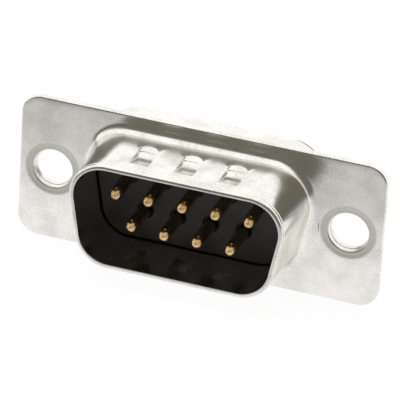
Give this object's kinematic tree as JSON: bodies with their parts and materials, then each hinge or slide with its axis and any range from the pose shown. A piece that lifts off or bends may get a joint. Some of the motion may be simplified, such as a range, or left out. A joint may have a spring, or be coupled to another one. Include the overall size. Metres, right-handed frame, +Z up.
{
  "type": "d-sub connector",
  "caption": "D-shaped multi-pin connector plug with a two-sheet metal flange, two screw holes, gold pins in two rows and solder cups behind.",
  "frame": {"origin": "centre between the two screw holes, on the flange's front face", "axes": "+X to the right along the flange seen from the mating side, -Y out of the mating side, +Z up towards the row of five pins"},
  "size_m": [0.0308, 0.0151, 0.0126],
  "materials": {
    "shell": "satin tin plate on drawn steel",
    "insulator": "satin moulded glass-filled plastic",
    "contact": "gold plate, bright on the formed tips"
  },
  "bodies": {
    "root": {"front_shell": "shell", "rear_shell": "shell", "front_insulator": "insulator", "rear_insulator": "insulator", "contact_1": "contact", "contact_2": "contact", "contact_3": "contact", "contact_4": "contact", "contact_5": "contact", "contact_6": "contact", "contact_7": "contact", "contact_8": "contact", "contact_9": "contact"}
  },
  "joints": []
}
